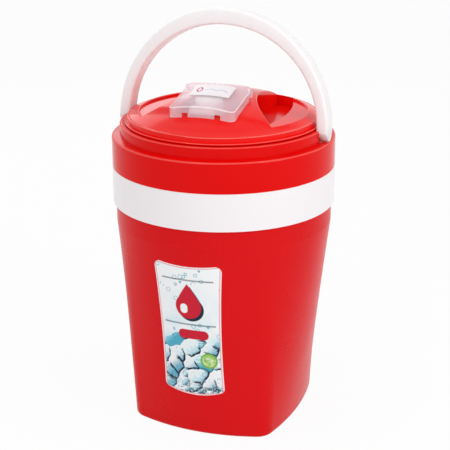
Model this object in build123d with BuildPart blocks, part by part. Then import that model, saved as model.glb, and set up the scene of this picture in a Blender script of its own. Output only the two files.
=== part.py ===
from build123d import *

import math
import os

os.makedirs("parts", exist_ok=True)

# An insulated water jug: a tapering body that grows from a rounded square foot
# to a round top, a screw lid with a flip cover over its spout, and a swinging
# handle. The origin is the middle of the foot, +Z is up and the front is -Y.

# Body
half_width = 70
half_depth = 72.6
flank_bow = 273
front_bow = 165
corner_radius = 15.5
inner_corner_radius = 6
base_edge_radius = 4
round_radius = 94.4
round_height = 17.5
shoulder_height = 197.5
shell_wall = 2.5
shell_neck_step = 0.9
shell_neck_height = 28.5
seal_thickness = 1
foam_gap = 11
floor_gap = 11.5
liner_wall = 2.3
flange_inset = 0.3
flange_thickness = 3
fill_hole_radius = 9
fill_hole_offset = 28
plug_recess = 0.4
plug_depth = 4

# Band and collar round the top of the body
band_wall = 3.3
band_clearance = 0.2
band_edge_radius = 0.6
collar_fall = 0.8
collar_edge_radius = 2
collar_wall = 2.8
collar_deck = 3
step_wall = 4
step_height = 10
step_edge_radius = 1.5
neck_wall_gap = 1.8
neck_wall_thickness = 3.3
neck_wall_drop = 0.7
notch_gap = 0.3
fold_gap = 0.85

# Handle and its pivot pins
pivot_rise = 5.5
handle_lean = 6
handle_fold = 70
handle_thickness = 10.1
handle_width = 16
handle_side_gap = 0.3
arch_height = 100.3
arch_outer_centre = 1.5
arch_thickness = 13.5
arch_inner_centre = 4.8
handle_edge_radius = 2
foot_gap = 0.3
foot_chamfer_width = 4.2
foot_chamfer_height = 7.7
foot_back_rise = 7.5
foot_front_rise = 1.5
pin_radius = 2.75
pin_clearance = 0.05
pin_end_cover = 1.6
pin_end_gap = 0.3
pin_head_reach = 1.45
pin_head_thickness = 1.5

# Neck, gasket and screw thread
neck_height = 27
gasket_inset = 0.3
gasket_thickness = 2
gasket_width = 2.4
plug_height = 30
plug_wall = 2.2
lid_deck = 3
thread_lead = 8
thread_reach = 1.6
thread_root = 3
thread_tip = 1.6
thread_arc = 24
thread_spacing = 30
thread_rise = 7
thread_clearance = 0.4
neck_thread_count = 11
lid_thread_count = 9
thread_gap = 2.6

# Lid
lid_rest_angle = 3.2
spigot_inset = 0.2
spigot_wall = 3
rim_flange_thickness = 1.8
rim_flange_inset = 0.5
rim_flange_reach = 2.5
rim_wall_height = 4.7
rim_width = 2
rim_edge_radius = 1
rim_flange_edge_radius = 0.6
dome_rise = 18.5
lid_wall = 2.2
scoop_depth = 8.5
bridge_curve = 97
bridge_inset = 2
bridge_curve_back = 25
scoop_curve = 150
scoop_side_rim = 26
scoop_middle = 6
scoop_rim = 2
flat_rise = 1
flat_rim = 8
grip_edge_radius = 1
grip_edge_lowest = 3

# Flip cover, its hinge and the spout below it
cover_half_width = 29
cover_front = 58
cover_wall = 1.8
cover_corner_radius = 5
cover_front_fall = 3.1
crown_radius = 131
cover_edge_radius = 1.6
cover_gap = 0.3
cover_notch_gap = 0.5
cover_notch_width = 5.5
cover_notch_height = 12.7
hinge_front = 12
hinge_rise = 3.5
nose_radius = 6
nose_gap = 0.5
nose_drop = 3.5
hinge_pin_radius = 1.4
hinge_boss_wall = 1.1
hinge_boss_half = 18
hinge_web_front = 8
hinge_web_back = 3
well_side_inset = 4
well_front_inset = 7
well_depth = 11
spout_front = 36
spout_radius = 12
spout_wall = 2.5
spout_drop = 3
spout_flange_reach = 2
spout_flange_thickness = 1.6
spout_gasket_thickness = 1
lip_half_width = 11
lip_start_reach = 10
lip_drop = 3
lip_below_rim = 2.5
lip_thickness = 1.8
lip_gap = 0.6
lip_cheek = 1.5
seal_flange_inset = 0.5
seal_plug_gap = 0.5
seal_plug_taper = 1
seal_plug_depth = 4
sticker_thickness = 0.3
sticker_left = 19
sticker_right = 17
sticker_near = 36.3
sticker_far = 15
sticker_corner = 1.5

# Label on the body
label_thickness = 0.4
label_offset = 2.7
label_half_width = 30.5
label_foot_half_width = 27.5
label_bottom = 40
label_top = 166.5
label_corner = 5
label_top_dip = 2.5
label_bottom_swell = 5
label_waist = 1.8

# Radii, from the round top of the body outwards and inwards
shell_neck_radius = round_radius - shell_neck_step
band_radius = shell_neck_radius + band_clearance + band_wall
flange_radius = shell_neck_radius - flange_inset
liner_inset = shell_wall + foam_gap
neck_radius = round_radius - liner_inset
liner_neck_bore = neck_radius - liner_wall
neck_wall_bore = neck_radius + neck_wall_gap
neck_wall_radius = neck_wall_bore + neck_wall_thickness
step_radius = neck_wall_radius + step_wall
plug_radius = liner_neck_bore - thread_reach - thread_clearance
gasket_radius = neck_radius - gasket_inset
spigot_radius = gasket_radius - spigot_inset
rim_flange_radius = neck_wall_radius - rim_flange_inset
rim_radius = rim_flange_radius - rim_flange_reach
dome_radius = rim_radius - rim_width
scoop_side = dome_radius - scoop_side_rim
spout_bore = spout_radius - spout_wall
spout_flange_radius = spout_radius + spout_flange_reach
bridge_curve_offset = bridge_curve + cover_half_width - bridge_inset

# Heights, from the foot upwards
taper_top = shoulder_height - round_height
liner_floor = shell_wall + floor_gap
seal_height = shoulder_height + shell_neck_height
flange_bottom = seal_height + seal_thickness
flange_top = flange_bottom + flange_thickness
neck_top = flange_top + neck_height
collar_top = neck_top
step_top = collar_top + step_height
pivot_height = collar_top + pivot_rise
gasket_top = neck_top + gasket_thickness
lid_seam = gasket_top + lid_deck
plug_bottom = lid_seam - plug_height
thread_start = plug_bottom + thread_rise
rim_flange_top = step_top + rim_flange_thickness
rim_height = rim_flange_top + rim_wall_height
dome_height = rim_height + dome_rise
hinge_height = dome_height + hinge_rise
well_floor = dome_height - well_depth
spout_rim = dome_height
spout_bottom = plug_bottom - spout_drop


def bowed_square(inset, height):
    corner = max(corner_radius - inset, inner_corner_radius)
    with BuildSketch(Plane.XY.offset(height)) as outline:
        with Locations((half_width - flank_bow, 0)):
            Circle(flank_bow - inset)
        with Locations((flank_bow - half_width, 0)):
            Circle(flank_bow - inset, mode=Mode.INTERSECT)
        with Locations((0, half_depth - front_bow)):
            Circle(front_bow - inset, mode=Mode.INTERSECT)
        with Locations((0, front_bow - half_depth)):
            Circle(front_bow - inset, mode=Mode.INTERSECT)
        fillet(outline.vertices(), corner)
    return outline.sketch


# The body's form, drawn in by an inset: a rounded square that tapers out to a
# circle, each arc of the square to its own arc of the circle.
def tapered_body(inset, bottom, top):
    foot = bowed_square(inset, bottom)
    radius = round_radius - inset
    with BuildPart() as body:
        add(foot)
        with BuildSketch(Plane.XY.offset(taper_top)):
            with BuildLine():
                for edge in foot.edges():
                    arc = [edge @ 0, edge @ 0.5, edge @ 1]
                    reach = [Vector(p.X, p.Y).normalized() * radius for p in arc]
                    ThreePointArc(*reach)
            make_face()
        loft(ruled=True)
        extrude(body.faces().sort_by(Axis.Z)[-1], amount=top - taper_top)
    return body.part


# One piece of the screw thread, centred on +X and pointing to or from the axis.
def thread_segment(root, tip):
    with BuildPart() as segment:
        with BuildSketch(Plane.XZ):
            with BuildLine():
                Polyline(
                    (root, -thread_root / 2),
                    (tip, -thread_tip / 2),
                    (tip, thread_tip / 2),
                    (root, thread_root / 2),
                    close=True,
                )
            make_face()
        revolve(axis=Axis.Z, revolution_arc=thread_arc)
    return segment.part.rotate(Axis.Z, -thread_arc / 2)


# The places of a thread's pieces, each tilted along the climb of the thread.
def thread_places(count, start):
    tilt = math.atan(thread_lead / (2 * math.pi * plug_radius))
    places = []
    for turn in range(count):
        angle = math.radians(turn * thread_spacing)
        height = start + thread_lead * turn * thread_spacing / 360
        places.append(
            Plane(
                origin=(0, 0, height),
                x_dir=(math.cos(angle), math.sin(angle), 0),
                z_dir=(
                    math.sin(angle) * math.sin(tilt),
                    -math.cos(angle) * math.sin(tilt),
                    math.cos(tilt),
                ),
            )
        )
    return places


# The body, from the outside in, and the band and collar on it

with BuildPart() as outer_shell:
    add(tapered_body(0, 0, shoulder_height))
    fillet(outer_shell.edges().group_by(Axis.Z)[0], base_edge_radius)
    with BuildSketch(Plane.XY.offset(shoulder_height)):
        Circle(shell_neck_radius)
    extrude(amount=seal_height - shoulder_height)
    add(tapered_body(shell_wall, shell_wall, seal_height), mode=Mode.SUBTRACT)
    with BuildSketch():
        with Locations((0, fill_hole_offset)):
            Circle(fill_hole_radius)
    extrude(amount=shell_wall, mode=Mode.SUBTRACT)
outer_shell.part.label = "outer_shell"

with BuildPart() as fill_plug:
    with BuildSketch(Plane.XY.offset(plug_recess)):
        with Locations((0, fill_hole_offset)):
            Circle(fill_hole_radius)
    extrude(amount=plug_depth)
    chamfer(fill_plug.edges().group_by(Axis.Z)[0], plug_recess)
fill_plug.part.label = "fill_plug"

with BuildPart() as body_foam:
    add(tapered_body(shell_wall, shell_wall, flange_bottom))
    add(tapered_body(liner_inset, liner_floor, flange_bottom), mode=Mode.SUBTRACT)
    add(fill_plug.part, mode=Mode.SUBTRACT)
body_foam.part.label = "body_foam"

with BuildPart() as liner_seal:
    with BuildSketch(Plane.XY.offset(seal_height)):
        Circle(shell_neck_radius)
        Circle(round_radius - shell_wall, mode=Mode.SUBTRACT)
    extrude(amount=seal_thickness)
liner_seal.part.label = "liner_seal"

neck_segment = thread_segment(liner_neck_bore + liner_wall / 2, liner_neck_bore - thread_reach)
with BuildPart() as inner_liner:
    add(tapered_body(liner_inset, liner_floor, neck_top))
    with BuildSketch(Plane.XY.offset(flange_bottom)):
        Circle(flange_radius)
    extrude(amount=flange_thickness)
    add(
        tapered_body(liner_inset + liner_wall, liner_floor + liner_wall, neck_top),
        mode=Mode.SUBTRACT,
    )
    with Locations(*thread_places(neck_thread_count, thread_start + thread_gap)):
        add(neck_segment)
inner_liner.part.label = "inner_liner"

with BuildPart() as white_band:
    with BuildSketch(Plane.XY.offset(shoulder_height)):
        Circle(band_radius)
        Circle(shell_neck_radius + band_clearance, mode=Mode.SUBTRACT)
    extrude(amount=flange_top - shoulder_height)
    rims = white_band.edges().filter_by(GeomType.CIRCLE).group_by(SortBy.RADIUS)[-1]
    fillet(rims, band_edge_radius)
white_band.part.label = "white_band"

with BuildPart() as collar:
    with BuildSketch(Plane.XZ):
        with BuildLine():
            Polyline(
                (neck_wall_bore, flange_top),
                (neck_wall_bore, step_top - neck_wall_drop),
                (neck_wall_radius, step_top - neck_wall_drop),
                (neck_wall_radius, step_top),
                (step_radius, step_top),
                (step_radius, collar_top),
                (band_radius, collar_top - collar_fall),
                (band_radius, flange_top),
                (band_radius - collar_wall, flange_top),
                (band_radius - collar_wall, collar_top - collar_fall - collar_deck),
                (neck_wall_bore + collar_wall, collar_top - collar_fall - collar_deck),
                (neck_wall_bore + collar_wall, flange_top),
                close=True,
            )
        make_face()
    revolve(axis=Axis.Z)
    circles = collar.edges().filter_by(GeomType.CIRCLE)
    outer_rim = circles.group_by(SortBy.RADIUS)[-1].sort_by(Axis.Z)[-1]
    fillet(outer_rim, collar_edge_radius)
    step_rims = collar.edges().filter_by(GeomType.CIRCLE).group_by(Axis.Z)[-1]
    fillet(step_rims.sort_by(SortBy.RADIUS)[-1], step_edge_radius)
    fold = math.radians(handle_fold)
    notch_front = handle_width / 2 + notch_gap
    notch_back = (step_height - pivot_rise) * math.tan(fold) + handle_width / 2 / math.cos(fold)
    notch_back += fold_gap
    with BuildSketch(Plane.XY.offset(collar_top)):
        with Locations((0, (notch_back - notch_front) / 2)):
            Rectangle(2 * band_radius, notch_back + notch_front)
        Circle(neck_wall_radius, mode=Mode.SUBTRACT)
    extrude(amount=step_height, mode=Mode.SUBTRACT)
    with BuildSketch(Plane.YZ):
        with Locations((0, pivot_height)):
            Circle(pin_radius)
    extrude(amount=band_radius, both=True, mode=Mode.SUBTRACT)
collar.part.label = "collar"

# The handle and its pins

lean = math.radians(handle_lean)
handle_front = Plane(
    origin=(0, 0, pivot_height),
    x_dir=(1, 0, 0),
    z_dir=(0, -math.cos(lean), math.sin(lean)),
)
handle_side = Plane(
    origin=(0, 0, pivot_height),
    x_dir=(0, math.cos(lean), -math.sin(lean)),
    z_dir=(1, 0, 0),
)
leg_inner = neck_wall_radius + handle_side_gap
leg_outer = leg_inner + handle_thickness
leg_bottom = collar_top + foot_gap - pivot_height
foot_radius = -leg_bottom
pin_reach = leg_outer - pin_end_cover
pin_head_radius = pin_radius + pin_head_reach

with BuildPart() as handle:
    with BuildSketch(handle_front):
        with Locations((0, arch_outer_centre)):
            Ellipse(leg_outer, arch_height - arch_outer_centre)
            Rectangle(
                2 * leg_outer,
                arch_height,
                align=(Align.CENTER, Align.MIN),
                mode=Mode.INTERSECT,
            )
            Rectangle(
                2 * leg_outer,
                arch_outer_centre - leg_bottom,
                align=(Align.CENTER, Align.MAX),
            )
        with Locations((0, arch_inner_centre)):
            Ellipse(
                leg_inner,
                arch_height - arch_thickness - arch_inner_centre,
                mode=Mode.SUBTRACT,
            )
            Rectangle(
                2 * leg_inner,
                arch_inner_centre - leg_bottom,
                align=(Align.CENTER, Align.MAX),
                mode=Mode.SUBTRACT,
            )
        with BuildLine():
            Polyline(
                (leg_inner, leg_bottom + foot_chamfer_height),
                (leg_inner + foot_chamfer_width, leg_bottom),
                (-leg_inner - foot_chamfer_width, leg_bottom),
                (-leg_inner, leg_bottom + foot_chamfer_height),
                close=True,
            )
        make_face(mode=Mode.SUBTRACT)
    extrude(amount=handle_width / 2, both=True)
    sides = handle.faces().filter_by(Axis((0, 0, 0), handle_front.z_dir))
    fillet(sides.edges(), handle_edge_radius)
    # Each leg ends round about its pin, and its back is cut so that it can fold.
    with BuildSketch(handle_side):
        Circle(foot_radius)
        with BuildLine():
            Polyline(
                (-handle_width / 2, foot_front_rise),
                (-handle_width / 2, foot_back_rise),
                (handle_width / 2, foot_back_rise),
                close=True,
            )
        make_face()
        make_hull()
        with Locations((0, foot_back_rise)):
            Rectangle(handle_width, arch_height, align=(Align.CENTER, Align.MIN))
    extrude(amount=band_radius + leg_outer, both=True, mode=Mode.INTERSECT)
    with BuildSketch(handle_side):
        Circle(pin_radius + pin_clearance)
    extrude(amount=pin_reach + pin_end_gap, both=True, mode=Mode.SUBTRACT)
handle.part.label = "handle"

pin_head_seat = math.sqrt(neck_wall_bore**2 - pin_head_radius**2)
with BuildPart() as pivot_pins:
    with BuildSketch(Plane.YZ.offset(pin_head_seat - pin_head_thickness)):
        with Locations((0, pivot_height)):
            Circle(pin_head_radius)
    extrude(amount=pin_head_thickness)
    with BuildSketch(Plane.YZ.offset(pin_head_seat)):
        with Locations((0, pivot_height)):
            Circle(pin_radius)
    extrude(amount=pin_reach - pin_head_seat)
    chamfer(pivot_pins.edges().group_by(Axis.X)[-1], pin_radius / 5)
    mirror(about=Plane.YZ)
pivot_pins.part.label = "pivot_pins"

# At rest the closed lid stands a little turned, so it has planes of its own.
turn = math.radians(lid_rest_angle)
lid_flat = Plane(origin=(0, 0, 0), x_dir=(math.cos(turn), math.sin(turn), 0), z_dir=(0, 0, 1))
lid_side = Plane(origin=(0, 0, 0), x_dir=lid_flat.y_dir, z_dir=lid_flat.x_dir)

with BuildPart() as lid_gasket:
    with BuildSketch(Plane.XY.offset(neck_top)):
        Circle(gasket_radius)
        Circle(gasket_radius - gasket_width, mode=Mode.SUBTRACT)
    extrude(amount=gasket_thickness)
lid_gasket.part.label = "lid_gasket"

lid_segment = thread_segment(plug_radius - plug_wall / 2, plug_radius + thread_reach)
with BuildPart() as lid_base:
    with BuildSketch(Plane.XY.offset(plug_bottom)):
        Circle(plug_radius)
    extrude(amount=lid_seam - plug_bottom)
    fillet(lid_base.edges().group_by(Axis.Z)[0], plug_wall)
    with BuildSketch(Plane.XY.offset(gasket_top)):
        Circle(gasket_radius)
    extrude(amount=lid_seam - gasket_top)
    with Locations(*thread_places(lid_thread_count, thread_start)):
        add(lid_segment)
    with BuildSketch(Plane.XY.offset(plug_bottom + plug_wall)):
        Circle(plug_radius - plug_wall)
    extrude(amount=lid_seam - plug_bottom, mode=Mode.SUBTRACT)
    with BuildSketch(lid_flat.offset(plug_bottom)):
        with Locations((0, -spout_front)):
            Circle(spout_radius)
    extrude(amount=plug_wall, mode=Mode.SUBTRACT)
lid_base.part.label = "lid_base"

with BuildPart() as lid_foam:
    with BuildSketch(Plane.XY.offset(plug_bottom + plug_wall)):
        Circle(plug_radius - plug_wall)
    extrude(amount=lid_seam - plug_bottom - plug_wall)
    with BuildSketch(lid_flat.offset(plug_bottom)):
        with Locations((0, -spout_front)):
            Circle(spout_radius)
    extrude(amount=lid_seam - plug_bottom, mode=Mode.SUBTRACT)
lid_foam.part.label = "lid_foam"


# The shape under the dome's arch, its crown and its foot lowered by a wall.
def dome_section(wall, radius, bottom):
    fall = dome_height - rim_height
    middle = dome_height - wall - fall / 4
    with BuildSketch(Plane.XZ) as section:
        with BuildLine():
            ThreePointArc(
                (0, dome_height - wall),
                (dome_radius / 2, middle),
                (dome_radius, rim_height - wall),
            )
            Polyline(
                (dome_radius, rim_height - wall), (dome_radius, bottom), (0, bottom),
                (0, dome_height - wall),
            )
        make_face()
        with Locations((0, bottom)):
            Rectangle(
                radius, dome_height, align=(Align.MIN, Align.MIN), mode=Mode.INTERSECT
            )
    return section.sketch


# What the two grips beside the bridge leave out of the lid: deep scoops along
# the bridge, and flats beyond them. It is widened by a wall for the hollow.
def grips(wall):
    with BuildPart() as space:
        for floor, reach, curve in (
            (rim_height - scoop_depth, dome_radius - scoop_rim, scoop_curve),
            (rim_height + flat_rise, dome_radius - flat_rim, None),
        ):
            with BuildSketch(lid_flat.offset(floor - wall)):
                with Locations((bridge_curve_offset, bridge_curve_back)):
                    Circle(bridge_curve + wall)
                with Locations((bridge_curve_offset - bridge_curve - wall, bridge_curve_back)):
                    Rectangle(bridge_curve, dome_radius, align=(Align.MIN, Align.MIN))
                if curve:
                    with Locations((scoop_side - curve, scoop_middle)):
                        Circle(curve + wall, mode=Mode.INTERSECT)
                Circle(reach + wall, mode=Mode.INTERSECT)
                mirror(about=Plane.YZ)
            extrude(amount=dome_height - floor + wall)
    return space.part


# The well round the spout and the groove that the cover's back turns in.
def well(wall):
    with BuildPart() as space:
        with BuildSketch(lid_flat.offset(well_floor - wall)):
            with Locations((0, -hinge_front - nose_radius)):
                Rectangle(
                    2 * (cover_half_width - well_side_inset + wall),
                    cover_front - well_front_inset - hinge_front - nose_radius + wall,
                    align=(Align.CENTER, Align.MAX),
                )
        extrude(amount=dome_height - well_floor + wall)
        with BuildSketch(lid_side):
            with Locations((-hinge_front, hinge_height)):
                Circle(nose_radius + nose_gap + wall)
        extrude(amount=cover_half_width + nose_gap + wall, both=True)
    return space.part


with BuildPart() as lid_hollow:
    add(dome_section(lid_wall, spigot_radius - spigot_wall, lid_seam))
    revolve(axis=Axis.Z)
    add(grips(lid_wall), mode=Mode.SUBTRACT)
    add(well(lid_wall), mode=Mode.SUBTRACT)

with BuildPart() as lid_top:
    with BuildSketch(Plane.XZ):
        with BuildLine():
            Polyline(
                (0, lid_seam),
                (spigot_radius, lid_seam),
                (spigot_radius, step_top),
                (rim_flange_radius, step_top),
                (rim_flange_radius, rim_flange_top),
                (rim_radius, rim_flange_top),
                (rim_radius, rim_height),
                (0, rim_height),
                close=True,
            )
        make_face()
    revolve(axis=Axis.Z)
    rings = lid_top.edges().filter_by(GeomType.CIRCLE).group_by(SortBy.RADIUS)
    fillet(rings[-1], rim_flange_edge_radius)
    fillet(lid_top.edges().group_by(Axis.Z)[-1], rim_edge_radius)
    add(dome_section(0, dome_radius, lid_seam))
    revolve(axis=Axis.Z)
    add(grips(0), mode=Mode.SUBTRACT)
    dome = lid_top.faces().filter_by(GeomType.REVOLUTION).sort_by(SortBy.AREA)[-1]
    lowest = rim_height + grip_edge_lowest
    grip_edges = dome.edges().filter_by_position(Axis.Z, lowest, dome_height)
    fillet(grip_edges, grip_edge_radius)
    add(well(0), mode=Mode.SUBTRACT)
    hinge_boss_radius = hinge_pin_radius + hinge_boss_wall
    with BuildSketch(lid_side):
        with Locations((-hinge_front, hinge_height)):
            Circle(hinge_boss_radius)
        with BuildLine():
            Polyline(
                (-hinge_front - hinge_web_front, well_floor - lid_wall),
                (-hinge_front - hinge_web_front, hinge_height - hinge_boss_radius),
                (-hinge_front, hinge_height),
                (-hinge_front - hinge_web_back, hinge_height - hinge_boss_radius),
                (-hinge_front - hinge_web_back, well_floor - lid_wall),
                close=True,
            )
        make_face()
    extrude(amount=hinge_boss_half, both=True)
    add(lid_hollow.part, mode=Mode.SUBTRACT)
    with BuildSketch(lid_flat.offset(lid_seam)):
        with Locations((0, -spout_front)):
            Circle(spout_radius)
    extrude(amount=dome_height - lid_seam, mode=Mode.SUBTRACT)
    with BuildSketch(lid_side):
        with Locations((-hinge_front, hinge_height)):
            Circle(hinge_pin_radius)
    extrude(amount=cover_half_width, both=True, mode=Mode.SUBTRACT)
lid_top.part.label = "lid_top"

# The spout and the flip cover over it

with BuildPart() as spout_gasket:
    with BuildSketch(lid_flat.offset(well_floor)):
        with Locations((0, -spout_front)):
            Circle(spout_flange_radius)
            Circle(spout_radius, mode=Mode.SUBTRACT)
    extrude(amount=spout_gasket_thickness)
spout_gasket.part.label = "spout_gasket"

lip_top = spout_rim - lip_below_rim
lip_start = spout_front + lip_start_reach
lip_end = cover_front - cover_wall - lip_gap
with BuildPart() as spout:
    with BuildSketch(lid_flat.offset(spout_bottom)):
        with Locations((0, -spout_front)):
            Circle(spout_radius)
    extrude(amount=spout_rim - spout_bottom)
    with BuildSketch(lid_flat.offset(well_floor + spout_gasket_thickness)):
        with Locations((0, -spout_front)):
            Circle(spout_flange_radius)
    extrude(amount=spout_flange_thickness)
    for rise, half, inner in (
        (0, lip_half_width, 0),
        (lip_cheek, lip_half_width, lip_half_width - lip_cheek),
    ):
        for side in (-1, 1):
            with BuildSketch(lid_side.offset(side * inner)):
                with BuildLine():
                    Polyline(
                        (-lip_start, lip_top + rise),
                        (-lip_end, lip_top - lip_drop + rise),
                        (-lip_end, lip_top - lip_drop - lip_thickness),
                        (-lip_start, lip_top - lip_thickness),
                        close=True,
                    )
                make_face()
            extrude(amount=side * (half - inner))
    with BuildSketch(lid_flat.offset(spout_bottom)):
        with Locations((0, -spout_front)):
            Circle(spout_bore)
    extrude(amount=spout_rim - spout_bottom, mode=Mode.SUBTRACT)
spout.part.label = "spout"

with BuildPart() as cover_hinge_pin:
    with BuildSketch(lid_side):
        with Locations((-hinge_front, hinge_height)):
            Circle(hinge_pin_radius)
    extrude(amount=cover_half_width - cover_gap, both=True)
cover_hinge_pin.part.label = "cover_hinge_pin"

hinge_span = cover_front - hinge_front
cover_slope = math.asin(nose_radius / math.hypot(hinge_span, cover_front_fall))
cover_slope += math.atan2(cover_front_fall, hinge_span)


# The cover's outer form, drawn in by an inset. Its top runs from the front lip
# to the round nose about the hinge, and is crowned from side to side.
def cover_form(inset):
    nose = nose_radius - inset
    touch_back = -hinge_front - nose * math.sin(cover_slope)
    touch_height = hinge_height + nose * math.cos(cover_slope)
    front = cover_front - inset
    front_top = touch_height - (front + touch_back) * math.tan(cover_slope)
    low = rim_height - inset
    nose_low = hinge_height - nose_drop - inset
    with BuildPart() as form:
        with BuildSketch(lid_side):
            with Locations((-hinge_front, hinge_height)):
                Circle(nose)
            with Locations((-hinge_front, nose_low)):
                Rectangle(
                    2 * nose_radius,
                    nose_radius,
                    align=(Align.CENTER, Align.MAX),
                    mode=Mode.SUBTRACT,
                )
            with BuildLine():
                Polyline(
                    (-front, low),
                    (-front, front_top),
                    (touch_back, touch_height),
                    (-hinge_front, hinge_height),
                    (-hinge_front, nose_low),
                    (-hinge_front - nose_radius, nose_low),
                    (-hinge_front - nose_radius, low),
                    close=True,
                )
            make_face()
        extrude(amount=cover_half_width - inset, both=True)
        with BuildSketch(lid_flat.offset(low)):
            with Locations((0, (nose - hinge_front - front) / 2)):
                RectangleRounded(
                    2 * (cover_half_width - inset),
                    front - hinge_front + nose,
                    cover_corner_radius - inset,
                )
        extrude(amount=hinge_height - low + 2 * nose_radius, mode=Mode.INTERSECT)
        generator = lid_flat.y_dir * math.cos(cover_slope) + Vector(0, 0, math.sin(cover_slope))
        crown = Plane(
            origin=lid_flat.y_dir * touch_back + Vector(0, 0, touch_height),
            x_dir=lid_flat.x_dir,
            z_dir=generator,
        )
        with BuildSketch(crown):
            with Locations((0, crown_radius - inset)):
                Circle(crown_radius - inset)
        extrude(amount=2 * cover_front, both=True, mode=Mode.INTERSECT)
    return form.part


with BuildPart() as dome_clearance:
    add(dome_section(-cover_gap, dome_radius, lid_seam))
    revolve(axis=Axis.Z)

with BuildPart() as flip_cover:
    add(cover_form(0))
    crown = flip_cover.faces().filter_by(GeomType.CYLINDER).sort_by(SortBy.AREA)[-1]
    fillet(crown.edges().sort_by(Axis.Z)[:-2], cover_edge_radius)
    add(cover_form(cover_wall), mode=Mode.SUBTRACT)
    add(dome_clearance.part, mode=Mode.SUBTRACT)
    for side in (-1, 1):
        with BuildSketch(lid_side.offset(side * cover_half_width)):
            with Locations((-hinge_front, hinge_height)):
                Circle(nose_radius - cover_wall)
        extrude(amount=-side * cover_wall)
    with BuildSketch(lid_side):
        with Locations((-hinge_front, hinge_height)):
            Circle(hinge_pin_radius + pin_clearance)
    extrude(amount=cover_half_width, both=True, mode=Mode.SUBTRACT)
    notch_middle = lip_half_width + cover_notch_gap + cover_notch_width / 2
    with BuildSketch(lid_flat.offset(rim_height)):
        for side in (-1, 1):
            with Locations((side * notch_middle, -cover_front)):
                Rectangle(cover_notch_width, 2 * cover_corner_radius)
    extrude(amount=cover_notch_height, mode=Mode.SUBTRACT)
flip_cover.part.label = "flip_cover"

with BuildPart() as cover_seal:
    with BuildSketch(lid_flat.offset(spout_rim)):
        with Locations((0, -spout_front)):
            Circle(spout_radius - seal_flange_inset)
    extrude(amount=nose_radius)
    add(cover_form(cover_wall), mode=Mode.INTERSECT)
    with BuildSketch(lid_flat.offset(spout_rim)):
        with Locations((0, -spout_front)):
            Circle(spout_bore - seal_plug_gap)
    with BuildSketch(lid_flat.offset(spout_rim - seal_plug_depth)):
        with Locations((0, -spout_front)):
            Circle(spout_bore - seal_plug_gap - seal_plug_taper)
    loft()
cover_seal.part.label = "cover_seal"

with BuildPart() as cover_sticker:
    add(cover_form(-sticker_thickness))
    add(cover_form(0), mode=Mode.SUBTRACT)
    with BuildSketch(lid_flat.offset(hinge_height - cover_front_fall)):
        with Locations(((sticker_right - sticker_left) / 2, -(sticker_near + sticker_far) / 2)):
            RectangleRounded(
                sticker_left + sticker_right, sticker_near - sticker_far, sticker_corner
            )
    extrude(amount=2 * nose_radius, mode=Mode.INTERSECT)
cover_sticker.part.label = "cover_sticker"

# The label on the front of the body

with BuildPart() as body_label:
    add(tapered_body(-label_thickness, 0, shoulder_height))
    add(tapered_body(0, 0, shoulder_height), mode=Mode.SUBTRACT)
    with BuildSketch(Plane.XZ) as label_outline:
        with BuildLine():
            low = label_bottom + label_bottom_swell
            middle = (low + label_top) / 2
            waist = (label_half_width + label_foot_half_width) / 2 - label_waist
            left = label_offset - label_half_width
            right = label_offset + label_half_width
            foot_left = label_offset - label_foot_half_width
            foot_right = label_offset + label_foot_half_width
            ThreePointArc(
                (left, label_top), (label_offset, label_top - label_top_dip), (right, label_top)
            )
            ThreePointArc((right, label_top), (label_offset + waist, middle), (foot_right, low))
            ThreePointArc((foot_right, low), (label_offset, label_bottom), (foot_left, low))
            ThreePointArc((foot_left, low), (label_offset - waist, middle), (left, label_top))
        make_face()
        fillet(label_outline.vertices(), label_corner)
    extrude(amount=round_radius + half_depth, mode=Mode.INTERSECT)
body_label.part.label = "body_label"

pieces = (
    outer_shell,
    fill_plug,
    body_foam,
    liner_seal,
    inner_liner,
    white_band,
    collar,
    pivot_pins,
    body_label,
    handle,
    lid_gasket,
    lid_base,
    lid_foam,
    lid_top,
    spout,
    spout_gasket,
    cover_hinge_pin,
    flip_cover,
    cover_seal,
    cover_sticker,
)
for piece in pieces:
    export_step(piece.part, f"parts/{piece.part.label}.step")
    print(piece.part.label, round(piece.part.volume), len(piece.part.solids()), piece.part.is_valid)
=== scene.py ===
import math

import bpy
from mathutils import Matrix, Vector

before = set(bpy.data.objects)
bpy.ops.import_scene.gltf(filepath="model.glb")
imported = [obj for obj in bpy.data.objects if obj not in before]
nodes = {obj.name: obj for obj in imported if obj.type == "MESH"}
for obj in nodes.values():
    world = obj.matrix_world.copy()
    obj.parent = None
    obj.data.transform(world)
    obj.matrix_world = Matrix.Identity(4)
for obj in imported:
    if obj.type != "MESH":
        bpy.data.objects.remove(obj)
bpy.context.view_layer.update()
scene = bpy.context.scene
scene.view_settings.view_transform = "Standard"
print("frame loaded:", len(nodes), "nodes")


# One shader value, so that maths between values reads as maths.
class Value:
    def __init__(self, shader, socket):
        self.shader = shader
        self.socket = socket

    def maths(self, operation, other=None, swap=False):
        a, b = (other, self) if swap else (self, other)
        return self.shader.node("Math", {"operation": operation}, **{"0": a, "1": b})

    def __add__(self, other):
        return self.maths("ADD", other)

    def __radd__(self, other):
        return self.maths("ADD", other)

    def __sub__(self, other):
        return self.maths("SUBTRACT", other)

    def __rsub__(self, other):
        return self.maths("SUBTRACT", other, swap=True)

    def __mul__(self, other):
        return self.maths("MULTIPLY", other)

    def __rmul__(self, other):
        return self.maths("MULTIPLY", other)

    def __truediv__(self, other):
        return self.maths("DIVIDE", other)

    def __pow__(self, other):
        return self.maths("POWER", other)

    def __lt__(self, other):
        return self.maths("LESS_THAN", other)

    def __gt__(self, other):
        return self.maths("GREATER_THAN", other)

    def __abs__(self):
        return self.maths("ABSOLUTE")

    def least(self, other):
        return self.maths("MINIMUM", other)

    def most(self, other):
        return self.maths("MAXIMUM", other)

    def sine(self):
        return self.maths("SINE")


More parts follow.
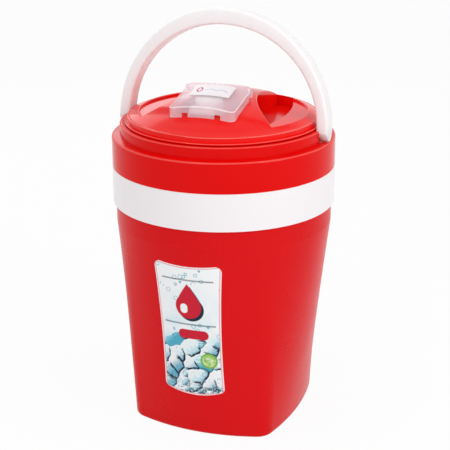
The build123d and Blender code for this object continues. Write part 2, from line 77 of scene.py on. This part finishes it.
class Shader:
    def __init__(self, name, color, **fixed):
        self.material = bpy.data.materials.new(name)
        self.material.use_nodes = True
        self.tree = self.material.node_tree
        self.surface = self.tree.nodes["Principled BSDF"]
        self.output = self.tree.nodes["Material Output"]
        self.surface.inputs["Base Color"].default_value = (*color, 1)
        self.material.diffuse_color = (*color, 1)
        for name, value in fixed.items():
            self.surface.inputs[name.replace("_", " ")].default_value = value

    # Adds a node: its settings first, then the values or links of its sockets.
    def node(self, kind, settings=None, out=0, **sockets):
        made = self.tree.nodes.new("ShaderNode" + kind)
        for name, value in (settings or {}).items():
            setattr(made, name, value)
        for name, value in sockets.items():
            if value is None:
                continue
            socket = made.inputs[int(name) if name.isdigit() else name.replace("_", " ")]
            if isinstance(value, Value):
                self.tree.links.new(value.socket, socket)
            else:
                socket.default_value = value
        return Value(self, made.outputs[out])

    def place(self):
        return self.node("TexCoord", out="Object")

    def axes(self, vector):
        return [self.node("SeparateXYZ", out=axis, Vector=vector) for axis in range(3)]

    def noise(self, vector, scale, detail=2.0, rough=0.5):
        return self.node("TexNoise", Vector=vector, Scale=scale, Detail=detail, Roughness=rough)

    def mix(self, share, first, second):
        first, second = [(*c, 1) if isinstance(c, tuple) else c for c in (first, second)]
        return self.node(
            "Mix", {"data_type": "RGBA"}, out=2, **{"0": share, "6": first, "7": second}
        )

    # How much of a surface faces up between two bounds, fading in and out.
    def rounded(self, bounds):
        facing = self.axes(self.node("TexCoord", out="Normal"))[2]
        start, full, fade, end = bounds
        return self.step(facing, start, full) * self.step(facing, end, fade)

    def step(self, value, low, high):
        return self.node("MapRange", Value=value, From_Min=low, From_Max=high)

    def bump(self, height, strength, distance):
        return self.node("Bump", Height=height, Strength=strength, Distance=distance)

    def feed(self, **inputs):
        for name, value in inputs.items():
            self.tree.links.new(value.socket, self.surface.inputs[name.replace("_", " ")])
        return self.material


# What the moulded plastics share, unless one of them says otherwise.
moulding = {
    "ior": 1.49,
    "specular": 0.5,
    "depth": 0.0,  # how far light soaks in
    "depthScale": 0.004,
    "depthColor": (1.0, 0.3, 0.25),
    "coat": 0.0,
    "coatRoughness": 0.1,
    "flowScale": 9.0,
    "flowDepth": 0.93,
    "grainScale": 620.0,
    "grain": 0.04,
    "grainHeight": 0.0002,
    "grainGloss": 0.02,
    "smudgeScale": 28.0,
    "smudgeFade": (0.35, 0.7),
    "smudge": 0.05,
    "paintedHighlight": None,  # a painted highlight: the paler colour painted on the rounded upper edges
    "highlightBounds": (0.25, 0.5, 0.8, 0.92),
    "highlightSmudge": 0.4,  # how much of it follows the smudges
}


# Moulded plastic: a faint flow in its colour, fine grain in its gloss and skin, and where given
# a painted highlight on its rounded upper edges.
def mouldedPlastic(name, own):
    look = {**moulding, **own}
    shader = Shader(
        name,
        look["color"],
        IOR=look["ior"],
        Specular_IOR_Level=look["specular"],
        Subsurface_Weight=look["depth"],
        Subsurface_Scale=look["depthScale"],
        Subsurface_Radius=look["depthColor"],
        Coat_Weight=look["coat"],
        Coat_Roughness=look["coatRoughness"],
    )
    place = shader.place()
    flow = shader.noise(place, look["flowScale"], 3.0)
    grain = shader.noise(place, look["grainScale"], 2.0, 0.6)
    blots = shader.noise(place, look["smudgeScale"], 4.0, 0.65)
    smudge = shader.step(blots, *look["smudgeFade"])
    shade = tuple(c * look["flowDepth"] for c in look["color"])
    paint = shader.mix(flow, shade, look["color"])
    # Painted highlight: the rounded upper edges are painted a paler red, where lamps would
    # catch them, broken up by the smudges.
    if look["paintedHighlight"]:
        highlightBreakup = 1.0 - look["highlightSmudge"] + smudge * look["highlightSmudge"]
        highlightShare = shader.rounded(look["highlightBounds"]) * highlightBreakup * look["highlightShare"]
        paint = shader.mix(highlightShare, paint, look["paintedHighlight"])
    return shader.feed(
        Base_Color=paint,
        Roughness=look["roughness"] + smudge * look["smudge"] + grain * look["grainGloss"],
        Normal=shader.bump(grain, look["grain"], look["grainHeight"]),
    )


plastics = {
    # Painted shade: the shell's red is the lid's red plastic painted darker, because its
    # upright walls get less light.
    "shellRedShaded": {
        "color": (0.75, 0.005, 0.008),
        "roughness": 0.26,
        "grain": 0.04,
        "specular": 0.1,
        "flowDepth": 0.94,
    },
    # Painted shade: the collar's red is the same red plastic painted darker for its upright
    # walls.
    "collarRedShaded": {
        "color": (0.8, 0.002, 0.0015),
        "roughness": 0.11,
        "grain": 0.015,
        "specular": 0.1,
        "flowDepth": 0.95,
        "paintedHighlight": (0.95, 0.16, 0.135),
        "highlightShare": 0.65,
    },
    # Painted light: the lid's red is the same red plastic painted lighter, because it faces the
    # light from above.
    "lidRedLit": {
        "color": (0.9, 0.006, 0.004),
        "roughness": 0.1,
        "grain": 0.015,
        "specular": 0.16,
        "flowDepth": 0.95,
        "paintedHighlight": (0.96, 0.24, 0.21),
        "highlightShare": 0.7,
    },
    "bandWhite": {
        "color": (0.94, 0.905, 0.92),
        "roughness": 0.24,
        "flowDepth": 0.985,
        "smudge": 0.02,
        "grain": 0.015,
    },
    "handleWhite": {
        "color": (0.93, 0.895, 0.905),
        "roughness": 0.26,
        "flowDepth": 0.985,
        "depth": 0.6,
        "depthScale": 0.012,
        "depthColor": (1.0, 0.9, 0.9),
        "coat": 0.15,
        "smudge": 0.02,
        "grain": 0.015,
    },
    "linerWhite": {"color": (0.85, 0.85, 0.84), "roughness": 0.35, "flowDepth": 0.98},
    "lidBaseWhite": {"color": (0.85, 0.85, 0.84), "roughness": 0.33, "flowDepth": 0.98},
    "spoutWhite": {"color": (0.92, 0.92, 0.91), "roughness": 0.28, "flowDepth": 0.985},
    "sealWhite": {"color": (0.9, 0.89, 0.87), "roughness": 0.5, "flowDepth": 0.97},
    "gasketRubber": {"color": (0.8, 0.8, 0.78), "roughness": 0.6, "flowDepth": 0.95},
    "plugRed": {"color": (0.45, 0.06, 0.05), "roughness": 0.45, "flowDepth": 0.9},
}
finishes = {name: mouldedPlastic(name, look) for name, look in plastics.items()}


foam = {
    "color": (0.83, 0.76, 0.58),
    "shade": (0.7, 0.61, 0.42),
    "cells": 420.0,
    "cellHeight": 0.0008,
    "washScale": 25.0,
    "wash": 0.6,
}


def foamFilling(look):
    shader = Shader("foamFilling", look["color"], Roughness=0.9)
    place = shader.place()
    cells = shader.node("TexVoronoi", Vector=place, Scale=look["cells"])
    wash = shader.noise(place, look["washScale"], 3.0)
    return shader.feed(
        Base_Color=shader.mix((cells + wash) * look["wash"], look["shade"], look["color"]),
        Normal=shader.bump(cells, 0.5, look["cellHeight"]),
    )


steel = {
    "color": (0.62, 0.62, 0.63),
    "shade": 0.85,
    "roughness": 0.28,
    "lineScale": 900.0,
    "lineStretch": (0.05, 1.0, 1.0),  # drawn long across the jug, as the pins lie
    "lineGloss": 0.15,
    "lineHeight": 0.0001,
}


def drawnSteel(look):
    shader = Shader("drawnSteel", look["color"], Metallic=1.0)
    place = shader.place()
    across = shader.node("Mapping", Vector=place, Scale=look["lineStretch"])
    lines = shader.noise(across, look["lineScale"], 2.0)
    shade = tuple(c * look["shade"] for c in look["color"])
    return shader.feed(
        Roughness=look["roughness"] + lines * look["lineGloss"],
        Base_Color=shader.mix(lines, shade, look["color"]),
        Normal=shader.bump(lines, 0.08, look["lineHeight"]),
    )


clear = {
    "color": (1.0, 0.83, 0.9),
    # the colour of the painted highlight on the upper rounded edges
    "edge": (1.0, 0.94, 0.96),
    "roughness": 0.06,
    "milk": 0.78,
    "solid": 0.4,
    "edgeSolid": 0.4,
    "ior": 1.46,
    "edgeBounds": (0.12, 0.4, 0.7, 0.9),
    "waveScale": 60.0,
    "waveHeight": 0.0006,
    "waveShade": 0.97,
    "waveGloss": 0.06,
    "waveSolid": 0.08,
    "grainScale": 900.0,
    "grain": 0.1,
}


# Clear moulded plastic with a little milk in it, and a painted highlight on its upper rounded
# edges.
def clearPlastic(look):
    shader = Shader(
        "coverClear",
        look["color"],
        IOR=look["ior"],
        Transmission_Weight=1.0 - look["milk"],
    )
    place = shader.place()
    wave = shader.noise(place, look["waveScale"], 3.0)
    grain = shader.noise(place, look["grainScale"])
    # Painted highlight: the upper rounded edges are painted paler and made more solid, standing
    # in for highlights along them.
    edge = shader.rounded(look["edgeBounds"])
    shade = tuple(c * look["waveShade"] for c in look["color"])
    paint = shader.mix(wave, shade, look["color"])
    return shader.feed(
        Base_Color=shader.mix(edge, paint, look["edge"]),
        Roughness=look["roughness"] + wave * look["waveGloss"],
        Alpha=look["solid"] + wave * look["waveSolid"] + edge * look["edgeSolid"],
        Normal=shader.bump(wave + grain * look["grain"], 0.1, look["waveHeight"]),
    )


# The label's colours, then its places in metres, across from its middle and up.
# A pair is where a fade starts and ends.
label = {
    "ground": (0.93, 0.96, 0.97),
    "ice": (0.03, 0.36, 0.52),
    "pale": (0.34, 0.76, 0.88),
    "deep": (0.004, 0.018, 0.045),
    "red": (0.62, 0.008, 0.03),
    "green": (0.2, 0.48, 0.05),
    "leaf": (0.72, 0.87, 0.5),
    "border": (0.86, 0.42, 0.44),
    "middle": 0.0027,
    "soft": 0.0003,
    "bendScale": 60.0,
    "shore": 0.096,  # where the ice begins
    "shoreWaves": 130.0,
    "shoreShift": 2.0,
    "shoreSwing": 0.007,
    "shoreBend": 0.03,
    "shoreFade": (-0.0006, 0.0006),
    "haze": (0.15, 0.09),
    "hazePatch": (0.4, 0.65),
    "hazeShare": 0.5,
    "bubbleScale": 150.0,
    "bubbleRadius": 0.28,
    "bubbleFade": (0.05, 0.02),
    "bubblePatch": 55.0,
    "bubbleShare": 0.8,
    "dropUp": 0.1265,
    "dropRadius": 0.0115,
    "dropPoint": 0.0215,
    "dropTaper": 1.35,
    "dropFade": (0.0004, -0.0004),
    "dropShadow": 0.0022,
    "gleam": (-0.004, 0.1245, 0.0032, 0.0045, 0.0032),
    "rules": (0.1515, 0.1095),
    "ruleHalf": (0.023, 0.0006, 0.0001),
    "bar": (0.003, 0.1, 0.0135, 0.0044, 0.0044),
    "dot": (0.0155, 0.0755),
    "dotRadius": 0.0075,
    "leafRadius": 0.0058,
    "leafScale": 260.0,
    "leafFade": (0.35, 0.6),
    "foot": (0.045, 0.005, 0.0275),  # up, swell and half width
    "top": (0.1665, 0.0025, 0.0305),
    "waist": 0.0018,
    "borderInside": (0.0018, 0.0014),
    "borderOutside": (0.0009, 0.0006),
    "roughness": 0.22,
    "bendGloss": 0.08,
    "grain": 0.03,
    "grainHeight": 0.0002,
}

# The blocks of ice: their scales, then the fades of their shades, cracks and
# rims, and of the crumbs that they break into.
iceBlocks = {
    "scale": 66.0,
    "bendScale": 75.0,
    "bendBy": (0.007, 0.0, 0.007),
    "rippleScale": 330.0,
    "crumbScale": 620.0,
    "tilt": 90.0,
    "blue": (0.35, 1.3),
    "blueShare": 0.85,
    "white": (0.52, 0.62),
    "whiteShare": 0.75,
    "whiteTilt": 0.2,
    "crack": (0.03, -0.02),
    "crackRipple": 0.16,
    "crackSide": (-0.25, 0.1),
    "crackSome": (0.15, 0.45),
    "rim": (0.07, 0.03),
    "rimSide": (-0.1, -0.4),
    "rimShare": 0.8,
    "spill": (0.07, 0.056),
    "spillBend": 0.02,
    "spillBlue": (0.55, 0.62),
    "spillWhite": (0.44, 0.38),
    "spillDark": (0.66, 0.7),
    "spillShare": 0.8,
}


# Blocks of ice: each pale at its upper left, blue and dark at its lower right,
# and broken into crumbs towards the label's foot. Gives the crumbs as well.
def printedIce(shader, colors, look, x, z, bend):
    wander = shader.node(
        "TexNoise", out="Color", Vector=shader.place(), Scale=look["bendScale"], Detail=3.0
    )
    flat = shader.node("VectorMath", {"operation": "MULTIPLY_ADD"}, **{
        "0": wander,
        "1": look["bendBy"],
        "2": shader.node("CombineXYZ", X=x, Z=z),
    })

    def blocks(out=0, **settings):
        return shader.node("TexVoronoi", settings, out, Vector=flat, Scale=look["scale"])

    border = blocks(feature="DISTANCE_TO_EDGE")
    shard, gleam, _ = shader.axes(blocks(out="Color"))
    middles = blocks(out="Position")
    lean = shader.node("VectorMath", {"operation": "SUBTRACT"}, **{"0": flat, "1": middles})
    across, _, upward = shader.axes(lean)
    slope = (across - upward) * look["tilt"]
    ripple = shader.noise(flat, look["rippleScale"], 3.0, 0.7)
    ice = shader.mix(shard, colors["ground"], colors["pale"])
    blue = shader.step(slope + ripple, *look["blue"])
    ice = shader.mix(blue * look["blueShare"], ice, colors["ice"])
    white = shader.step(ripple - slope * look["whiteTilt"], *look["white"])
    ice = shader.mix(white * look["whiteShare"], ice, colors["ground"])

    crack = shader.step(border - ripple * look["crackRipple"], *look["crack"])
    crack = crack * shader.step(slope, *look["crackSide"])
    crack = crack * shader.step(gleam, *look["crackSome"])
    ice = shader.mix(crack, ice, colors["deep"])
    rim = shader.step(border, *look["rim"]) * shader.step(slope, *look["rimSide"])
    ice = shader.mix(rim * look["rimShare"], ice, colors["ground"])

    crumbs = shader.noise(flat, look["crumbScale"], 2.0)
    spill = shader.step(z + bend * look["spillBend"], *look["spill"])
    blue = spill * shader.step(crumbs, *look["spillBlue"])
    ice = shader.mix(blue * look["spillShare"], ice, colors["ice"])
    white = spill * shader.step(crumbs, *look["spillWhite"])
    ice = shader.mix(white * look["spillShare"], ice, colors["ground"])
    ice = shader.mix(spill * shader.step(crumbs, *look["spillDark"]), ice, colors["deep"])
    return ice, crumbs


# The body's label is a print of its own: a drop between two rules, bubbles, a
# bar, a green dot, and blocks of ice under a wavy line.
def printedLabel(look):
    shader = Shader("labelPrint", look["ground"], Specular_IOR_Level=0.2)
    place = shader.place()
    x, _, z = shader.axes(place)
    x = x - look["middle"]

    # A rectangle with round corners, or a disc where all three sizes are one.
    def blob(left, up, wide, tall, corner):
        inX = (abs(x - left) - (wide - corner)).most(0.0)
        inZ = (abs(z - up) - (tall - corner)).most(0.0)
        away = (inX * inX + inZ * inZ) ** 0.5
        return shader.step(away, corner + look["soft"], corner - look["soft"])

    bend = shader.noise(place, look["bendScale"], 2.0)
    ice, crumbs = printedIce(shader, look, iceBlocks, x, z, bend)
    swell = (x * look["shoreWaves"] + look["shoreShift"]).sine() * look["shoreSwing"]
    shore = look["shore"] + swell + (bend - 0.5) * look["shoreBend"]
    under = shader.step(shore - z, *look["shoreFade"])
    paint = shader.mix(under, look["ground"], ice)
    haze = shader.step(z, *look["haze"]) * shader.step(bend, *look["hazePatch"])
    paint = shader.mix(haze * look["hazeShare"] * (1 - under), paint, look["pale"])

    bubbles = shader.node("TexVoronoi", Vector=place, Scale=look["bubbleScale"])
    ring = shader.step(abs(bubbles - look["bubbleRadius"]), *look["bubbleFade"])
    patches = shader.noise(place, look["bubblePatch"]) > 0.5
    paint = shader.mix(ring * patches * look["bubbleShare"], paint, look["ice"])

    # The drop: a round foot drawn up to a point, its shadow first.
    up, radius = look["dropUp"], look["dropRadius"]
    for side, color in ((look["dropShadow"], look["deep"]), (0.0, look["red"])):
        rise = (z + side - up).most(0.0) / look["dropPoint"]
        half = radius * (1.0 - rise.least(1.0) ** look["dropTaper"])
        point = shader.step(abs(x - side) - half, *look["dropFade"])
        point = point * (rise > 0.0) * (rise < 1.0)
        drop = point.most(blob(side, up - side, radius, radius, radius))
        paint = shader.mix(drop, paint, color)
    paint = shader.mix(blob(*look["gleam"]), paint, look["ground"])
    for height in look["rules"]:
        paint = shader.mix(blob(0.0, height, *look["ruleHalf"]), paint, look["deep"])
    paint = shader.mix(blob(*look["bar"]), paint, look["red"])
    dot = blob(*look["dot"], *[look["dotRadius"]] * 3)
    heart = blob(*look["dot"], *[look["leafRadius"]] * 3)
    leaf = shader.step(shader.noise(place, look["leafScale"]), *look["leafFade"])
    paint = shader.mix(dot, paint, look["green"])
    paint = shader.mix(heart * leaf, paint, look["leaf"])

    # The border follows the label's outline.
    footUp, footSwell, footHalf = look["foot"]
    topUp, topDip, topHalf = look["top"]
    climb = (z - footUp) / (topUp - footUp)
    drawnIn = climb * (1 - climb) * 4.0 * look["waist"]
    half = footHalf + climb * (topHalf - footHalf) - drawnIn
    near = x / topHalf
    sag = 1 - near * near
    inside = (half - abs(x)).least(topUp - sag * topDip - z).least(z - footUp + sag * footSwell)
    paint = shader.mix(shader.step(inside, *look["borderInside"]), paint, look["border"])
    paint = shader.mix(shader.step(inside, *look["borderOutside"]), paint, look["ground"])
    return shader.feed(
        Base_Color=paint,
        Roughness=look["roughness"] + bend * look["bendGloss"],
        Normal=shader.bump(crumbs, look["grain"], look["grainHeight"]),
    )


sticker = {
    "ground": (0.86, 0.82, 0.85),
    "blue": (0.25, 0.4, 0.62),
    "red": (0.5, 0.02, 0.1),
    "turn": 3.2,  # degrees, as the lid stands
    "near": 0.0255,
    "ringLeft": 0.012,
    "ringHalf": (0.0028, 0.0045),
    "waveRight": 0.003,
    "waveHalf": 0.01,
    "waveSwing": 0.0012,
    "waves": 620.0,
    "waveFade": (0.0009, 0.0005),
    "waveShare": 0.6,
    "ringOutside": (1.05, 0.95),
    "ringInside": (0.5, 0.65),
    "roughness": 0.28,
    "grainScale": 300.0,
    "grainGloss": 0.06,
    "grain": 0.03,
    "grainHeight": 0.0002,
}


# The cover's sticker: a red ring beside a thin wave.
def printedSticker(look):
    shader = Shader("stickerPrint", look["ground"], Specular_IOR_Level=0.25)
    turned = shader.node(
        "Mapping", Vector=shader.place(), Rotation=(0, 0, math.radians(-look["turn"]))
    )
    x, y, _ = shader.axes(turned)
    grain = shader.noise(shader.place(), look["grainScale"])
    ringWide, ringTall = look["ringHalf"]
    across = (x + look["ringLeft"]) / ringWide
    along = (y + look["near"]) / ringTall
    away = (across * across + along * along) ** 0.5
    ring = shader.step(away, *look["ringOutside"]) * shader.step(away, *look["ringInside"])
    wave = y + look["near"] + (x * look["waves"]).sine() * look["waveSwing"]
    reach = abs(x - look["waveRight"]) < look["waveHalf"]
    line = shader.step(abs(wave), *look["waveFade"]) * reach * look["waveShare"]
    paint = shader.mix(ring, look["ground"], look["red"])
    paint = shader.mix(line, paint, look["blue"])
    return shader.feed(
        Base_Color=paint,
        Roughness=look["roughness"] + grain * look["grainGloss"],
        Normal=shader.bump(grain, look["grain"], look["grainHeight"]),
    )


finishes["foamFilling"] = foamFilling(foam)
finishes["drawnSteel"] = drawnSteel(steel)
finishes["coverClear"] = clearPlastic(clear)
finishes["labelPrint"] = printedLabel(label)
finishes["stickerPrint"] = printedSticker(sticker)

wearing = {
    "outer_shell": "shellRedShaded",
    "fill_plug": "plugRed",
    "body_foam": "foamFilling",
    "liner_seal": "gasketRubber",
    "inner_liner": "linerWhite",
    "white_band": "bandWhite",
    "collar": "collarRedShaded",
    "pivot_pins": "drawnSteel",
    "body_label": "labelPrint",
    "handle": "handleWhite",
    "lid_gasket": "gasketRubber",
    "lid_base": "lidBaseWhite",
    "lid_foam": "foamFilling",
    "lid_top": "lidRedLit",
    "spout": "spoutWhite",
    "spout_gasket": "gasketRubber",
    "cover_hinge_pin": "drawnSteel",
    "flip_cover": "coverClear",
    "cover_seal": "sealWhite",
    "cover_sticker": "stickerPrint",
}
given = 0
for name, finish in wearing.items():
    for slot in nodes[name].material_slots:
        slot.material = finishes[finish]
        given += 1
print("finishes given:", len(finishes), "on", given, "slots of", len(nodes), "nodes")


# The floor, the world's light and the lamps. A lamp has its name, its place,
# where it aims, its width and height, and its watts.
studio = {
    "floor": (0.9, 0.9, 0.9),
    "fleck": (0.93, 0.93, 0.93),
    "fleckScale": 40.0,
    "floorHalf": 6.0,
    "floorSeen": 0.94,  # how much of the floor shows white; the rest keeps the shadow
    "world": 0.58,
    "lamps": (
        ("keyLamp", (-0.2, -1.2, 0.85), (0.0, 0.0, 0.2), 0.7, 0.9, 2.9),
        ("rightLamp", (1.0, -0.35, 0.7), (0.0, 0.0, 0.25), 0.5, 0.9, 3.9),
        ("topLamp", (0.06, -0.12, 1.25), (0.0, 0.0, 0.25), 1.0, 0.13, 1.9),
        ("backLamp", (-0.7, 0.9, 0.8), (0.0, 0.0, 0.25), 0.8, 0.6, 1.8),
    ),
}


# One for a ray that comes from the camera, a mirror or a clear piece.
def seenDirectly(shader):
    names = ("Is Camera Ray", "Is Glossy Ray", "Is Transmission Ray")
    path = shader.tree.nodes.new("ShaderNodeLightPath")
    rays = [Value(shader, path.outputs[name]) for name in names]
    return rays[0].most(rays[1]).most(rays[2])


def layFloor(look):
    mesh = bpy.data.meshes.new("floor")
    half = look["floorHalf"]
    corners = [(-half, -half, 0), (half, -half, 0), (half, half, 0), (-half, half, 0)]
    mesh.from_pydata(corners, [], [(0, 1, 2, 3)])
    floor = bpy.data.objects.new("floor", mesh)
    scene.collection.objects.link(floor)
    shader = Shader("floorPaper", look["floor"], Roughness=0.9)
    fleck = shader.noise(shader.place(), look["fleckScale"])
    shader.feed(Base_Color=shader.mix(fleck, look["floor"], look["fleck"]))
    seen = seenDirectly(shader)
    glow = shader.node("Emission", Color=(1, 1, 1, 1), Strength=1.0)
    paper = Value(shader, shader.surface.outputs[0])
    mixed = shader.node("MixShader", **{"0": seen * look["floorSeen"], "1": paper, "2": glow})
    shader.tree.links.new(mixed.socket, shader.output.inputs["Surface"])
    mesh.materials.append(shader.material)


def hangLamp(name, place, aim, wide, tall, watts):
    light = bpy.data.lights.new(name, "AREA")
    light.shape = "RECTANGLE"
    light.size = wide
    light.size_y = tall
    light.energy = watts
    lamp = bpy.data.objects.new(name, light)
    scene.collection.objects.link(lamp)
    lamp.location = place
    lamp.rotation_euler = (Vector(aim) - Vector(place)).to_track_quat("-Z", "Y").to_euler()


def lightWorld(strength):
    world = bpy.data.worlds.new("studio")
    scene.world = world
    world.use_nodes = True
    tree = world.node_tree
    ground = tree.nodes["Background"]
    ground.inputs["Color"].default_value = (1, 1, 1, 1)
    path = tree.nodes.new("ShaderNodeLightPath")
    seen = path.outputs["Is Camera Ray"]
    for name in ("Is Glossy Ray", "Is Transmission Ray"):
        most = tree.nodes.new("ShaderNodeMath")
        most.operation = "MAXIMUM"
        tree.links.new(seen, most.inputs[0])
        tree.links.new(path.outputs[name], most.inputs[1])
        seen = most.outputs[0]
    level = tree.nodes.new("ShaderNodeMapRange")
    level.inputs["To Min"].default_value = strength
    level.inputs["To Max"].default_value = 1.0
    tree.links.new(seen, level.inputs["Value"])
    tree.links.new(level.outputs["Result"], ground.inputs["Strength"])


layFloor(studio)
for lamp in studio["lamps"]:
    hangLamp(*lamp)
lightWorld(studio["world"])

view = {
    "azimuth": 22.0,
    "elevation": 19.1,
    "distance": 1.179,
    "focal": 1324.7,  # in pixels
    "pixels": 450,
    "sensor": 36.0,
    "farEnd": 50.0,
    "side": 0.00084,
    "height": 0.1705,
    "roll": -0.3,
}


def setCamera(look):
    az, el = math.radians(look["azimuth"]), math.radians(look["elevation"])
    ahead = Vector((-math.sin(az) * math.cos(el), math.cos(az) * math.cos(el), -math.sin(el)))
    right = Vector((math.cos(az), math.sin(az), 0))
    up = right.cross(ahead)
    roll = math.radians(look["roll"])
    across = right * math.cos(roll) + up * math.sin(roll)
    upward = up * math.cos(roll) - right * math.sin(roll)
    aim = right * look["side"] + Vector((0, 0, look["height"]))
    data = bpy.data.cameras.new("camera")
    data.sensor_width = look["sensor"]
    data.lens = look["focal"] / look["pixels"] * look["sensor"]
    data.clip_end = look["farEnd"]
    camera = bpy.data.objects.new("camera", data)
    scene.collection.objects.link(camera)
    turn = Matrix((across, upward, -ahead)).transposed()
    camera.matrix_world = Matrix.Translation(aim - ahead * look["distance"]) @ turn.to_4x4()
    scene.camera = camera


setCamera(view)
print("studio set")
